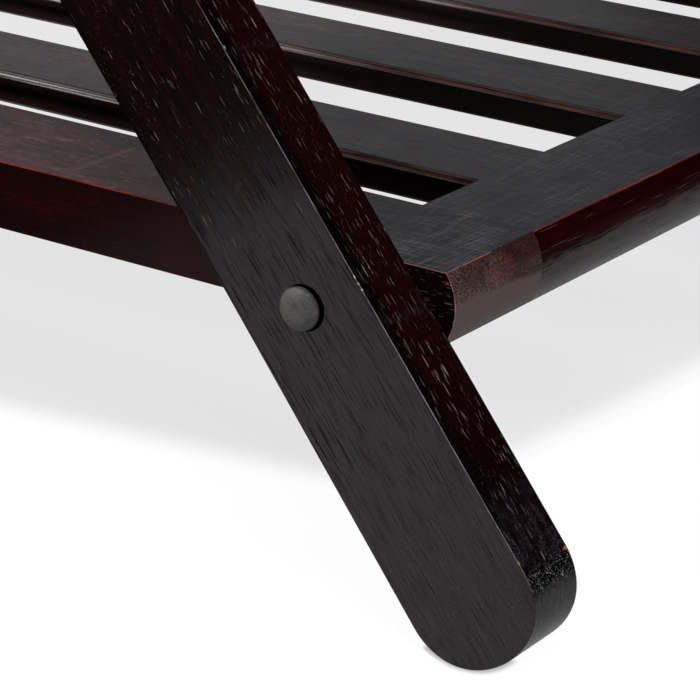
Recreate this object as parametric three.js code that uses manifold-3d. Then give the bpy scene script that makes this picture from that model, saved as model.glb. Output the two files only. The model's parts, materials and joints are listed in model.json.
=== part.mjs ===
// Folding luggage rack of dark stained wood: two leg frames that cross like an X, webbing straps
// over their top rails, and a slatted shelf that hinges on the inner legs and rests on a dowel.
// Millimetres, +Z up. X is the direction in which the rack folds, Y runs along its length.
// The origin is on the floor, under the middle of the open rack.
import * as THREE from "three";
import { mergeVertices } from "three/addons/utils/BufferGeometryUtils.js";
import Module from "manifold-3d";

const wasm = await Module();
wasm.setup();

// Legs: flat bars with full round ends
const legWidth = 36;
const legThickness = 19;
const legSpan = 610; // from the centre of one round end to the centre of the other
const legLean = THREE.MathUtils.degToRad(39); // from upright, with the rack open
const legArris = 0.8;

// Top rails, tenoned and screwed between the legs' upper ends
const railThickness = 19;
const railDepth = 34; // along the leg
const railCorner = 6;
const railTenonThickness = 9;
const railTenonDepth = 20;
const railTenonLength = 7;

// Dowel between the outer legs, on which the shelf's free end rests
const stretcherDiameter = 16;
const stretcherSocketDepth = 7;

// Shelf: two side rails, two end rails between them, slats between the end rails
const shelfThickness = 18.2;
const shelfBoltFromFoot = 78.1; // along the leg, from the centre of its round foot
const shelfOverhang = 27.1; // from the shelf's bolt to the crisp edge of its end
const edgeBulge = 3; // how far the rounded end stands out past that edge
const sideRailWidth = 39;
const endRailWidth = 32;
const shelfArris = 0.8;
const slatCount = 6;
const slatWidth = 34.8;
const slatThickness = 9;
const slatGap = 40.5;
const slatToSideRail = 24.75;
const slatArris = 2;
const tongueLength = 8;
const tongueThickness = 4;
const tongueShoulder = 4; // step at each side of a slat's tongue
const cornerTenonLength = 14;
const cornerTenonWidth = 20;
const cornerTenonThickness = 7;

// Webbing straps
const strapCount = 3;
const strapWidth = 50;
const strapThickness = 1.6;
const strapSag = 4;
const strapMargin = 62; // from the leg to the nearest strap's edge
const strapTail = 16; // length of its end, up the rail's inner face
const strapScrewSpacing = 26;
const strapScrewFromTail = 7;
const strapScrewDiameter = 3;
const strapScrewLength = 12;
const strapScrewHeadDiameter = 8;
const strapScrewHeadHeight = 1.8;

// Bolts, screws and what goes with them
const boltDiameter = 5.8;
const boltGrip = 11; // length inside the insert
const headDiameter = 9;
const headHeight = 3;
const screwDiameter = 4.2;
const screwBite = 30; // length inside the wood that it pulls in
const screwTip = 4;
const hexKey = 4; // across the flats
const hexKeyDepth = 1.8;
const insertDiameter = 9.4;
const insertLength = 12;
const insertFlangeDiameter = 12;
const insertFlange = 1;
const washerDiameter = 18;
const washerThickness = 1.2;
const plugDiameter = 10.8;
const plugRim = 0.9;
const plugHeight = 2.2;
const plugStemDiameter = 9;
const plugStemLength = 2.8;

// Fits
const faceGap = 0.3; // between pieces that turn on or seat against each other
const seamGap = 0.2; // glue line between fitted pieces of wood
const cutOverrun = 1; // how far a cutter runs past the face that it opens

// Facets
const endFacets = 8; // for half of a round end's half circle
const arrisFacets = 2;
const boreFacets = 18;
const smallFacets = 10;
const bulgeFacets = 4;
const domeSteps = 3;
const strapTurnSteps = 3;
const strapSpanSteps = 6;

// Derived places
const legRadius = legWidth / 2;
const pivotHeight = legRadius + (legSpan / 2) * Math.cos(legLean);
const footX = (legSpan / 2) * Math.sin(legLean);
const shelfBoltX = footX - shelfBoltFromFoot * Math.sin(legLean);
const shelfBoltHeight = legRadius + shelfBoltFromFoot * Math.cos(legLean);
const shelfHalfWidth = shelfBoltX + shelfOverhang;
const slatBandLength = slatCount * slatWidth + (slatCount - 1) * slatGap;
const shelfHalfLength = slatBandLength / 2 + slatToSideRail + sideRailWidth;
const innerLegFace = shelfHalfLength + faceGap; // the face towards the shelf
const outerLegFace = innerLegFace + legThickness + washerThickness + 2 * faceGap;
const stretcherHeight =
  shelfBoltHeight - shelfThickness / 2 - faceGap - stretcherDiameter / 2;
const stretcherFromPivot = (pivotHeight - stretcherHeight) / Math.cos(legLean);
const counterboreDiameter = plugStemDiameter + 2 * faceGap;
const counterboreDepth = plugStemLength + headHeight + 2 * faceGap;
const legWeb = legThickness - counterboreDepth; // wood left under a counterbore

// Materials
const material = (color, roughness, metalness = 0) =>
  new THREE.MeshStandardMaterial({ color, roughness, metalness });
const stainedWood = material(0x2b1714, 0.42);
const plugWood = material(0x3a302c, 0.6);
const webbing = material(0x18171a, 0.85);
const steel = material(0x9a9a9c, 0.35, 1);
const brass = material(0xb08a48, 0.35, 1);
const nylon = material(0x26262a, 0.55);

// A closed three.js geometry as a solid that can be cut and joined
function solid(geometry) {
  const bare = geometry.clone();
  bare.deleteAttribute("normal");
  bare.deleteAttribute("uv");
  const merged = mergeVertices(bare, seamGap / 1000);
  const corners = merged.index.array;
  const kept = [];
  for (let i = 0; i < corners.length; i += 3) {
    const [a, b, c] = [corners[i], corners[i + 1], corners[i + 2]];
    if (a !== b && b !== c && c !== a) kept.push(a, b, c);
  }
  return new wasm.Manifold(
    new wasm.Mesh({
      numProp: 3,
      vertProperties: new Float32Array(merged.attributes.position.array),
      triVerts: new Uint32Array(kept),
    }),
  );
}

function geometryOf(made) {
  const { vertProperties, triVerts } = made.getMesh();
  const geometry = new THREE.BufferGeometry();
  geometry.setAttribute("position", new THREE.BufferAttribute(vertProperties, 3));
  geometry.setIndex(new THREE.BufferAttribute(triVerts, 1));
  geometry.computeVertexNormals();
  return geometry;
}

function addPiece(parent, name, made, finish, x = 0, y = 0, z = 0) {
  const mesh = new THREE.Mesh(geometryOf(made), finish);
  mesh.name = name;
  mesh.position.set(x, y, z);
  parent.add(mesh);
  return mesh;
}

const allCut = (body, cutters) =>
  cutters.reduce((rest, cutter) => rest.subtract(cutter), body);

// An outline in X and Z, as thick along Y as asked, from y = 0 to y = thickness
function plate(outline, thickness, arris = 0, curveSegments = endFacets) {
  const geometry = new THREE.ExtrudeGeometry(outline, {
    depth: thickness - 2 * arris,
    bevelEnabled: arris > 0,
    bevelThickness: arris,
    bevelSize: arris,
    bevelOffset: -arris,
    bevelSegments: arrisFacets,
    curveSegments,
  });
  geometry.rotateX(Math.PI / 2);
  geometry.translate(0, thickness - arris, 0);
  return solid(geometry);
}

// A bar along X with its middle at x = 0, from an outline in Y and Z
function beam(outline, length) {
  return plate(outline, length, 0, arrisFacets)
    .translate([0, -length / 2, 0])
    .rotate([0, 0, 90]);
}

function block(width, length, height, x = 0, y = 0, z = 0) {
  return solid(new THREE.BoxGeometry(width, length, height)).translate([x, y, z]);
}

// A round bar or hole along Y, from y = start to y = end
function round(diameter, start, end, facets = boreFacets) {
  const geometry = new THREE.CylinderGeometry(
    diameter / 2,
    diameter / 2,
    end - start,
    facets,
  );
  return solid(geometry).translate([0, (start + end) / 2, 0]);
}

// A turned piece about the Y axis, from radius and height pairs that run upwards
function turned(profile, facets = boreFacets) {
  const points = profile.map(([radius, height]) => new THREE.Vector2(radius, height));
  return solid(new THREE.LatheGeometry(points, facets));
}

function roundEndedBar(width, span) {
  const outline = new THREE.Shape();
  outline.absarc(0, span / 2, width / 2, 0, Math.PI);
  outline.absarc(0, -span / 2, width / 2, Math.PI, 2 * Math.PI);
  return outline;
}

function roundedRectangle(width, height, corner) {
  const outline = new THREE.Shape();
  const [x, y] = [width / 2 - corner, height / 2 - corner];
  outline.absarc(x, y, corner, 0, Math.PI / 2);
  outline.absarc(-x, y, corner, Math.PI / 2, Math.PI);
  outline.absarc(-x, -y, corner, Math.PI, 1.5 * Math.PI);
  outline.absarc(x, -y, corner, 1.5 * Math.PI, 2 * Math.PI);
  return outline;
}

// Fasteners, each with its head or flange at y = 0 and its tip towards -Y

function hexSocket(top) {
  const key = new THREE.CylinderGeometry(
    hexKey / Math.sqrt(3),
    hexKey / Math.sqrt(3),
    hexKeyDepth + cutOverrun,
    6,
  );
  return solid(key).translate([0, top + (cutOverrun - hexKeyDepth) / 2, 0]);
}

function makeBolt(length) {
  const radius = boltDiameter / 2;
  const chamfer = radius / 4;
  return turned([
    [0, -length],
    [radius - chamfer, -length],
    [radius, chamfer - length],
    [radius, 0],
    [headDiameter / 2, 0],
    [headDiameter / 2, headHeight - chamfer],
    [headDiameter / 2 - chamfer, headHeight],
    [0, headHeight],
  ]).subtract(hexSocket(headHeight));
}

function makeScrew(length, diameter, headWidth, head, tip) {
  const radius = diameter / 2;
  return turned(
    [
      [0, -length],
      [radius, tip - length],
      [radius, 0],
      [headWidth / 2, 0],
      [headWidth / 2, head / 3],
      [headWidth / 4 + radius / 2, head],
      [0, head],
    ],
    smallFacets,
  );
}

// Threaded sleeve with a flange that lies in its own shallow recess
function makeInsert() {
  const bore = boltDiameter / 2 + faceGap;
  return turned([
    [bore, -insertLength],
    [insertDiameter / 2, -insertLength],
    [insertDiameter / 2, -insertFlange],
    [insertFlangeDiameter / 2, -insertFlange],
    [insertFlangeDiameter / 2, 0],
    [bore, 0],
    [bore, -insertLength],
  ]);
}

const insertSeat = () =>
  round(insertDiameter + 2 * faceGap, -insertLength - faceGap, cutOverrun).add(
    round(insertFlangeDiameter + 2 * faceGap, -insertFlange - faceGap, cutOverrun),
  );

// Button plug: a low dome with a short stem that fills the counterbore
function makePlug() {
  const radius = plugDiameter / 2;
  const dome = [];
  for (let i = 0; i <= domeSteps; i++) {
    const turn = (i / domeSteps) * (Math.PI / 2);
    dome.push([
      radius * Math.cos(turn),
      plugRim + (plugHeight - plugRim) * Math.sin(turn),
    ]);
  }
  dome[domeSteps][0] = 0;
  return turned([
    [0, -plugStemLength],
    [plugStemDiameter / 2, -plugStemLength],
    [plugStemDiameter / 2, seamGap],
    [radius, seamGap],
    ...dome,
  ]);
}

function makeWasher() {
  const bore = boltDiameter / 2 + faceGap;
  return turned([
    [bore, 0],
    [washerDiameter / 2, 0],
    [washerDiameter / 2, washerThickness],
    [bore, washerThickness],
    [bore, 0],
  ]);
}

// Counterbore in a leg's outer face with a through hole for the shank
const fastenerHole = (diameter) =>
  round(counterboreDiameter, legWeb, legThickness + cutOverrun).add(
    round(diameter + 2 * faceGap, -cutOverrun, legThickness),
  );

const atHeight = (made, z) => made.translate([0, 0, z]);
const blankLeg = () =>
  plate(roundEndedBar(legWidth, legSpan), legThickness, legArris);
const railTenon = (allowance, reach) =>
  block(
    railTenonThickness + 2 * allowance,
    railTenonLength + reach + allowance,
    railTenonDepth + 2 * allowance,
    0,
    (railTenonLength + allowance - reach) / 2,
    0,
  );

function makeOuterLeg() {
  return allCut(blankLeg(), [
    fastenerHole(boltDiameter),
    atHeight(fastenerHole(screwDiameter), legSpan / 2),
    atHeight(railTenon(seamGap, cutOverrun), legSpan / 2),
    atHeight(fastenerHole(screwDiameter), -stretcherFromPivot),
    atHeight(
      round(stretcherDiameter + 2 * seamGap, -cutOverrun, stretcherSocketDepth + seamGap),
      -stretcherFromPivot,
    ),
  ]);
}

function makeInnerLeg() {
  return allCut(blankLeg(), [
    insertSeat().translate([0, legThickness, 0]),
    atHeight(fastenerHole(screwDiameter), legSpan / 2),
    atHeight(railTenon(seamGap, cutOverrun), legSpan / 2),
    atHeight(fastenerHole(boltDiameter), shelfBoltFromFoot - legSpan / 2),
  ]);
}

// Straps: their places along the rails, and where their screws go in
const strapReach = innerLegFace - strapMargin - strapWidth / 2;
const strapScrewHeight = railCorner - railDepth / 2 + strapTail - strapScrewFromTail;
const strapPlaces = Array.from(
  { length: strapCount },
  (_, i) => strapReach * ((2 * i) / (strapCount - 1) - 1),
);

// Each strap screw lies along X in its rail's frame, with its head on the face towards +X
const strapScrewPlaces = (place) =>
  [-1, 1].map((side) => place + (side * strapScrewSpacing) / 2);
const strapScrewHole = (y) =>
  round(
    strapScrewDiameter + 2 * faceGap,
    -strapScrewLength - faceGap,
    strapThickness + 2 * faceGap + cutOverrun,
    smallFacets,
  )
    .rotate([0, 0, -90])
    .translate([railThickness / 2, y, strapScrewHeight]);

// A top rail lies along Y with its middle at the origin, between legs at y = halfLength each way
function makeTopRail(halfLength) {
  const section = roundedRectangle(railThickness, railDepth, railCorner);
  const shaftHalf = halfLength - seamGap;
  const shaft = plate(section, 2 * shaftHalf, 0, arrisFacets).translate([0, -shaftHalf, 0]);
  const tenon = railTenon(0, legThickness).translate([0, halfLength, 0]);
  const screwHole = round(
    screwDiameter + 2 * faceGap,
    halfLength - screwBite - faceGap,
    halfLength + legThickness,
    smallFacets,
  );
  return allCut(shaft.add(tenon).add(tenon.mirror([0, 1, 0])), [
    screwHole,
    screwHole.mirror([0, 1, 0]),
    ...strapPlaces.flatMap(strapScrewPlaces).map(strapScrewHole),
  ]);
}

function makeStretcher() {
  const half = outerLegFace + stretcherSocketDepth;
  const screwHole = round(
    screwDiameter + 2 * faceGap,
    outerLegFace - screwBite - faceGap,
    half + cutOverrun,
    smallFacets,
  );
  return allCut(round(stretcherDiameter, -half, half), [
    screwHole,
    screwHole.mirror([0, 1, 0]),
  ]);
}

// The line that a strap follows in X and Z, from its tail on the left rail to the middle.
// It goes down the rail's inner face, round under it, up its outer face and over its top.
function halfStrapLine() {
  const [flatX, flatZ] = [railThickness / 2 - railCorner, railDepth / 2 - railCorner];
  const offset = railCorner + faceGap + strapThickness / 2;
  const dip = Math.atan((2 * strapSag) / footX);
  const quarter = Math.PI / 2;
  const line = [];
  const addPoint = (centreX, centreZ, angle) => {
    const x = centreX + offset * Math.cos(angle);
    const z = legSpan / 2 + centreZ + offset * Math.sin(angle);
    line.push({
      x: x * Math.cos(legLean) - z * Math.sin(legLean),
      z: pivotHeight + x * Math.sin(legLean) + z * Math.cos(legLean),
      normal: angle + legLean,
    });
  };
  const addTurn = (centreX, centreZ, from, to) => {
    for (let i = 0; i <= strapTurnSteps; i++)
      addPoint(centreX, centreZ, from + ((to - from) * i) / strapTurnSteps);
  };
  addPoint(flatX, strapTail - flatZ, 0);
  addTurn(flatX, -flatZ, 0, -quarter);
  addTurn(-flatX, -flatZ, -quarter, -2 * quarter);
  addTurn(-flatX, flatZ, 2 * quarter, quarter);
  addTurn(flatX, flatZ, quarter, quarter - legLean - dip);
  const { x: endX, z: endZ } = line.at(-1);
  for (let i = 1; i <= strapSpanSteps; i++) {
    const x = endX * (1 - i / strapSpanSteps);
    const slope = (2 * strapSag * x) / endX ** 2;
    line.push({
      x,
      z: endZ - strapSag * (1 - (x / endX) ** 2),
      normal: quarter + Math.atan(slope),
    });
  }
  return line;
}

function strapLine() {
  const left = halfStrapLine();
  const right = left
    .slice(0, -1)
    .reverse()
    .map(({ x, z, normal }) => ({ x: -x, z, normal: Math.PI - normal }));
  return [...left, ...right];
}

function makeStrap(place) {
  const line = strapLine();
  const side = (distance) =>
    line.map(
      ({ x, z, normal }) =>
        new THREE.Vector2(
          x + distance * Math.cos(normal),
          z + distance * Math.sin(normal),
        ),
    );
  const outline = new THREE.Shape([
    ...side(strapThickness / 2),
    ...side(-strapThickness / 2).reverse(),
  ]);
  const holes = strapScrewPlaces(place)
    .map(strapScrewHole)
    .map((hole) => ontoLeftRail(hole));
  return allCut(plate(outline, strapWidth).translate([0, place - strapWidth / 2, 0]), [
    ...holes,
    ...holes.map((hole) => hole.mirror([1, 0, 0])),
  ]);
}

// From the frame of the left rail, the inner legs', to the rack's own
const ontoLeftRail = (made) =>
  atHeight(made, legSpan / 2)
    .rotate([0, -THREE.MathUtils.radToDeg(legLean), 0])
    .translate([0, 0, pivotHeight]);

// Shelf, about the level of its bolts. Its ends are rounded over their whole thickness.
const bulgeRadius = (shelfThickness ** 2 / 4 + edgeBulge ** 2) / (2 * edgeBulge);
const bulgeAngle = Math.asin(shelfThickness / 2 / bulgeRadius);
const bulgeCentre = shelfHalfWidth + edgeBulge - bulgeRadius;
const endRailFace = shelfHalfWidth - endRailWidth; // the face towards the slats
const endRailMiddle = shelfHalfWidth - endRailWidth / 2;
const slatLevel = (shelfThickness - slatThickness) / 2;
const sideRailFace = shelfHalfLength - sideRailWidth; // the face towards the slats
const slatPlaces = Array.from(
  { length: slatCount },
  (_, i) => (slatWidth - slatBandLength) / 2 + i * (slatWidth + slatGap),
);

const shelfBoltSeat = () =>
  insertSeat().translate([shelfBoltX, shelfHalfLength, 0]);

const cornerTenon = (allowance, reach) =>
  block(
    cornerTenonWidth + 2 * allowance,
    cornerTenonLength + reach + allowance,
    cornerTenonThickness + 2 * allowance,
    endRailMiddle,
    sideRailFace + (cornerTenonLength + allowance - reach) / 2,
    0,
  );

const slatTongue = (allowance, reach) =>
  block(
    tongueLength + reach + allowance,
    slatWidth - 2 * tongueShoulder + 2 * allowance,
    tongueThickness + 2 * allowance,
    endRailFace + (tongueLength + allowance - reach) / 2,
    0,
    slatLevel,
  );

function makeSideRail() {
  const profile = new THREE.Shape();
  profile.absarc(bulgeCentre, 0, bulgeRadius, -bulgeAngle, bulgeAngle);
  profile.absarc(-bulgeCentre, 0, bulgeRadius, Math.PI - bulgeAngle, Math.PI + bulgeAngle);
  const section = roundedRectangle(sideRailWidth, shelfThickness, shelfArris);
  const mortise = cornerTenon(seamGap, cutOverrun);
  return allCut(
    plate(profile, sideRailWidth, 0, bulgeFacets)
      .translate([0, sideRailFace, 0])
      .intersect(
        beam(section, 2 * (shelfHalfWidth + edgeBulge + cutOverrun)).translate([
          0,
          (shelfHalfLength + sideRailFace) / 2,
          0,
        ]),
      ),
    [mortise, mortise.mirror([1, 0, 0]), shelfBoltSeat()],
  );
}

function makeEndRail() {
  const profile = new THREE.Shape();
  const [eased, level] = [endRailFace + shelfArris, shelfThickness / 2 - shelfArris];
  profile.absarc(bulgeCentre, 0, bulgeRadius, -bulgeAngle, bulgeAngle);
  profile.absarc(eased, level, shelfArris, Math.PI / 2, Math.PI);
  profile.absarc(eased, -level, shelfArris, Math.PI, 1.5 * Math.PI);
  const half = sideRailFace - seamGap;
  const tenon = cornerTenon(0, endRailWidth);
  const bar = plate(profile, 2 * half, 0, bulgeFacets).translate([0, -half, 0]);
  return allCut(
    bar.add(tenon).add(tenon.mirror([0, 1, 0])),
    slatPlaces.map((place) => slatTongue(seamGap, cutOverrun).translate([0, place, 0])),
  );
}

function makeSlat() {
  const section = roundedRectangle(slatWidth, slatThickness, slatArris);
  const tongue = slatTongue(0, endRailWidth);
  return atHeight(beam(section, 2 * (endRailFace - seamGap)), slatLevel)
    .add(tongue)
    .add(tongue.mirror([1, 0, 0]));
}

// Assembly. In each leg frame's own axes Z runs up along the legs, Y along the rack, and X
// towards the rack's middle at the top. The outer frame is the mirror image of the inner one.

const rack = new THREE.Group();

function addLegFrame(parent, mirrored) {
  const lean = new THREE.Group();
  lean.rotation.y = -legLean;
  lean.position.z = pivotHeight;
  const hand = new THREE.Group();
  hand.scale.x = mirrored ? -1 : 1;
  hand.add(lean);
  parent.add(hand);
  return lean;
}

// Front is the end towards -Y, the mirror image of the back
function forBothEnds(parent, add) {
  for (const [end, sign] of [["front", -1], ["back", 1]]) {
    const side = new THREE.Group();
    side.scale.y = sign;
    parent.add(side);
    add(side, end);
  }
}

const seatOf = (legFace) => legFace + legWeb + faceGap;

function addScrewAndPlug(side, name, end, legFace, height) {
  const screw = makeScrew(
    legWeb + screwBite,
    screwDiameter,
    headDiameter,
    headHeight,
    screwTip,
  ).subtract(hexSocket(headHeight));
  addPiece(side, `${name}_screw_${end}`, screw, steel, 0, seatOf(legFace), height);
  addPlug(side, `${name}_plug_${end}`, legFace, height);
}

function addPlug(side, name, legFace, height) {
  addPiece(side, name, makePlug(), plugWood, 0, legFace + legThickness, height);
}

function addStrapScrews(frame, rail) {
  strapPlaces.forEach((place, i) =>
    strapScrewPlaces(place).forEach((y, j) => {
      const screw = makeScrew(
        strapScrewLength,
        strapScrewDiameter,
        strapScrewHeadDiameter,
        strapScrewHeadHeight,
        strapScrewDiameter,
      ).rotate([0, 0, -90]);
      const x = railThickness / 2 + strapThickness + 2 * faceGap;
      const z = legSpan / 2 + strapScrewHeight;
      addPiece(frame, `${rail}_strap_screw_${2 * i + j + 1}`, screw, steel, x, y, z);
    }),
  );
}

const innerFrame = addLegFrame(rack, false);
forBothEnds(innerFrame, (side, end) => {
  const boltHeight = shelfBoltFromFoot - legSpan / 2;
  const shankLength = legWeb + 2 * faceGap + boltGrip;
  const insertFace = innerLegFace + legThickness;
  addPiece(side, `inner_leg_${end}`, makeInnerLeg(), stainedWood, 0, innerLegFace, 0);
  addPiece(side, `pivot_insert_${end}`, makeInsert(), brass, 0, insertFace, 0);
  addPiece(
    side,
    `shelf_bolt_${end}`,
    makeBolt(shankLength),
    steel,
    0,
    seatOf(innerLegFace),
    boltHeight,
  );
  addPlug(side, `shelf_bolt_plug_${end}`, innerLegFace, boltHeight);
  addScrewAndPlug(side, "inner_rail", end, innerLegFace, legSpan / 2);
});
addPiece(
  innerFrame,
  "inner_top_rail",
  makeTopRail(innerLegFace),
  stainedWood,
  0,
  0,
  legSpan / 2,
);
addStrapScrews(innerFrame, "inner");

const outerFrame = addLegFrame(rack, true);
forBothEnds(outerFrame, (side, end) => {
  const legGap = washerThickness + 2 * faceGap;
  const shankLength = legWeb + faceGap + legGap + boltGrip;
  const washerPlace = outerLegFace - faceGap - washerThickness;
  addPiece(side, `outer_leg_${end}`, makeOuterLeg(), stainedWood, 0, outerLegFace, 0);
  addPiece(
    side,
    `pivot_bolt_${end}`,
    makeBolt(shankLength),
    steel,
    0,
    seatOf(outerLegFace),
    0,
  );
  addPiece(side, `pivot_washer_${end}`, makeWasher(), nylon, 0, washerPlace, 0);
  addPlug(side, `pivot_plug_${end}`, outerLegFace, 0);
  addScrewAndPlug(side, "outer_rail", end, outerLegFace, legSpan / 2);
  addScrewAndPlug(side, "stretcher", end, outerLegFace, -stretcherFromPivot);
});
addPiece(
  outerFrame,
  "outer_top_rail",
  makeTopRail(outerLegFace),
  stainedWood,
  0,
  0,
  legSpan / 2,
);
addPiece(
  outerFrame,
  "stretcher",
  makeStretcher(),
  stainedWood,
  0,
  0,
  -stretcherFromPivot,
);
addStrapScrews(outerFrame, "outer");

const shelf = new THREE.Group();
shelf.position.z = shelfBoltHeight;
rack.add(shelf);
forBothEnds(shelf, (side, end) => {
  addPiece(side, `shelf_side_rail_${end}`, makeSideRail(), stainedWood);
  addPiece(
    side,
    `shelf_insert_${end}`,
    makeInsert(),
    brass,
    shelfBoltX,
    shelfHalfLength,
    0,
  );
});
addPiece(shelf, "shelf_end_rail_hinged", makeEndRail(), stainedWood);
addPiece(
  shelf,
  "shelf_end_rail_resting",
  makeEndRail().mirror([1, 0, 0]),
  stainedWood,
);
slatPlaces.forEach((place, i) =>
  addPiece(shelf, `shelf_slat_${i + 1}`, makeSlat(), stainedWood, 0, place, 0),
);

strapPlaces.forEach((place, i) =>
  addPiece(rack, `strap_${i + 1}`, makeStrap(place), webbing),
);

export default rack;
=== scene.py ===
# Folding luggage rack in espresso-stained wood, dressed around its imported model.
# Metres, +Z up. X is the direction in which the rack folds, Y runs along its length, and the
# photographed end is towards -Y.
import json
import math
import random

import bmesh
import bpy
from mathutils import Matrix, Vector


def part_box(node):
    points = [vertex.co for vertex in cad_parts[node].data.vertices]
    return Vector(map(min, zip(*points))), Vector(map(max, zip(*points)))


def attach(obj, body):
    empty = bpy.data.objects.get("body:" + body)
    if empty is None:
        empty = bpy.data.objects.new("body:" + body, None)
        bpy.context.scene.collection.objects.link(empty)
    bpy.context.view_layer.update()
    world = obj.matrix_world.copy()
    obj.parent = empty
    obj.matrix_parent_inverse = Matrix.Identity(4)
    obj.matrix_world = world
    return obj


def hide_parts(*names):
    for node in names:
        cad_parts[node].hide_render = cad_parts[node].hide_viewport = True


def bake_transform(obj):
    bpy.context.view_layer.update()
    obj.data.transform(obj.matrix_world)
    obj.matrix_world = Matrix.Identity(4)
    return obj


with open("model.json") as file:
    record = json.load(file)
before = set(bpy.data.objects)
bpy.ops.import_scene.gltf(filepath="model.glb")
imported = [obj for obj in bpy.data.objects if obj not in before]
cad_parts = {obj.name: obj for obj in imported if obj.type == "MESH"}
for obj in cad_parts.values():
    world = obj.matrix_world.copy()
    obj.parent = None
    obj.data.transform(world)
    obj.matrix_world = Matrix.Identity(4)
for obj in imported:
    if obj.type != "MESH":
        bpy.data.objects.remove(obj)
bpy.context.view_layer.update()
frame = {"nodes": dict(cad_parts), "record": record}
scene = bpy.context.scene
scene.view_settings.view_transform = "Standard"
print("frame loaded:", len(frame["nodes"]), "nodes")

mm = 0.001
perMetre = 1000  # millimetres
quarterTurn = math.pi / 2


# Camera, at the photograph's angle

cameraSettings = {
    "place": (0.51799, -0.82794, 0.31890),
    "aim": (0.15673, -0.28870, 0.07131),
    "rollDegrees": 1.8317,
    "lens": 154.919,
    "sensor": 36,
    "nearest": 0.01,
}


def addObject(name, data):
    made = bpy.data.objects.new(name, data)
    scene.collection.objects.link(made)
    return made


def addCamera(settings):
    data = bpy.data.cameras.new("photoCamera")
    data.lens = settings["lens"]
    data.sensor_width = settings["sensor"]
    data.clip_start = settings["nearest"]
    eye = addObject("photoCamera", data)
    place = Vector(settings["place"])
    turn = (Vector(settings["aim"]) - place).to_track_quat("-Z", "Y").to_matrix().to_4x4()
    roll = Matrix.Rotation(math.radians(settings["rollDegrees"]), 4, "Z")
    eye.matrix_world = Matrix.Translation(place) @ turn @ roll
    scene.camera = eye


addCamera(cameraSettings)


# Shader maths: a Wire is a socket, and sums of wires add their own nodes. Types of nodes are
# named without the ShaderNode that they all start with.


class Wire:
    def __init__(self, tree, socket=None):
        self.tree = tree
        self.socket = socket

    def add(self, kind, settings=None, inputs=None, output=0):
        made = self.tree.nodes.new("ShaderNode" + kind)
        for key, value in (settings or {}).items():
            setattr(made, key, value)
        for key, value in (inputs or {}).items():
            if isinstance(value, Wire):
                self.tree.links.new(value.socket, made.inputs[key])
            else:
                made.inputs[key].default_value = value
        return Wire(self.tree, made.outputs[output] if made.outputs else None)

    def other(self, output):
        return Wire(self.tree, self.socket.node.outputs[output])

    def sum(self, operation, first, second):
        pair = [first, second]
        kind = "Math"
        if any(isVector(x) for x in pair):
            kind = "VectorMath"
            pair = [(x, x, x) if isinstance(x, (int, float)) else x for x in pair]
        return self.add(kind, {"operation": operation}, dict(enumerate(pair)))

    def __add__(self, other):
        return self.sum("ADD", self, other)

    def __radd__(self, other):
        return self.sum("ADD", other, self)

    def __sub__(self, other):
        return self.sum("SUBTRACT", self, other)

    def __rsub__(self, other):
        return self.sum("SUBTRACT", other, self)

    def __mul__(self, other):
        return self.sum("MULTIPLY", self, other)

    def __rmul__(self, other):
        return self.sum("MULTIPLY", other, self)

    def __truediv__(self, other):
        return self.sum("DIVIDE", self, other)

    def __abs__(self):
        kind = "VectorMath" if isVector(self) else "Math"
        return self.add(kind, {"operation": "ABSOLUTE"}, {0: self})

    def least(self, other):
        return self.sum("MINIMUM", self, other)

    def most(self, other):
        return self.sum("MAXIMUM", self, other)

    def root(self):
        return self.sum("POWER", self, 0.5)

    def angleFrom(self, other):
        return self.sum("ARCTAN2", self, other)

    def whole(self):
        return self.add("Math", {"operation": "FLOOR"}, {0: self})


def isVector(value):
    if isinstance(value, Wire):
        return value.socket.type in ("VECTOR", "RGBA")
    return isinstance(value, tuple)


def rise(value, low, high):
    # 0 below low, 1 above high, smooth between
    limits = {"Value": value, "From Min": low, "From Max": high}
    return value.add("MapRange", {"interpolation_type": "SMOOTHSTEP"}, limits)


def towards(value, end, reaches):
    # rises from the first distance before an end to the second
    return rise(value, *[end - reach for reach in reaches])


def blendColour(amount, under, over):
    # 6 and 7 are a Mix node's colour inputs, and 2 is its colour output
    pair = [(*x, 1) if isinstance(x, tuple) else x for x in (under, over)]
    return amount.add("Mix", {"data_type": "RGBA"}, {0: amount, 6: pair[0], 7: pair[1]}, 2)


def noise(place, detail=2, roughness=0.5):
    inputs = {"Vector": place, "Scale": 1, "Detail": detail, "Roughness": roughness}
    return place.add("TexNoise", inputs=inputs)


def axes(vector):
    split = vector.add("SeparateXYZ", inputs={"Vector": vector})
    return split, split.other(1), split.other(2)


def newMaterial(name):
    made = bpy.data.materials.new(name)
    made.use_nodes = True
    made.node_tree.nodes.clear()
    return made, Wire(made.node_tree)


def finishMaterial(wire, shader):
    wire.add("OutputMaterial", inputs={"Surface": shader})


def addSurface(wire, inputs):
    finishMaterial(wire, wire.add("BsdfPrincipled", inputs=inputs))


def bump(height, depth):
    return height.add("Bump", inputs={"Height": height, "Distance": depth * mm})


# Stained wood. Each piece's own X axis runs along its grain, and all patterns are in millimetres.

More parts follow.
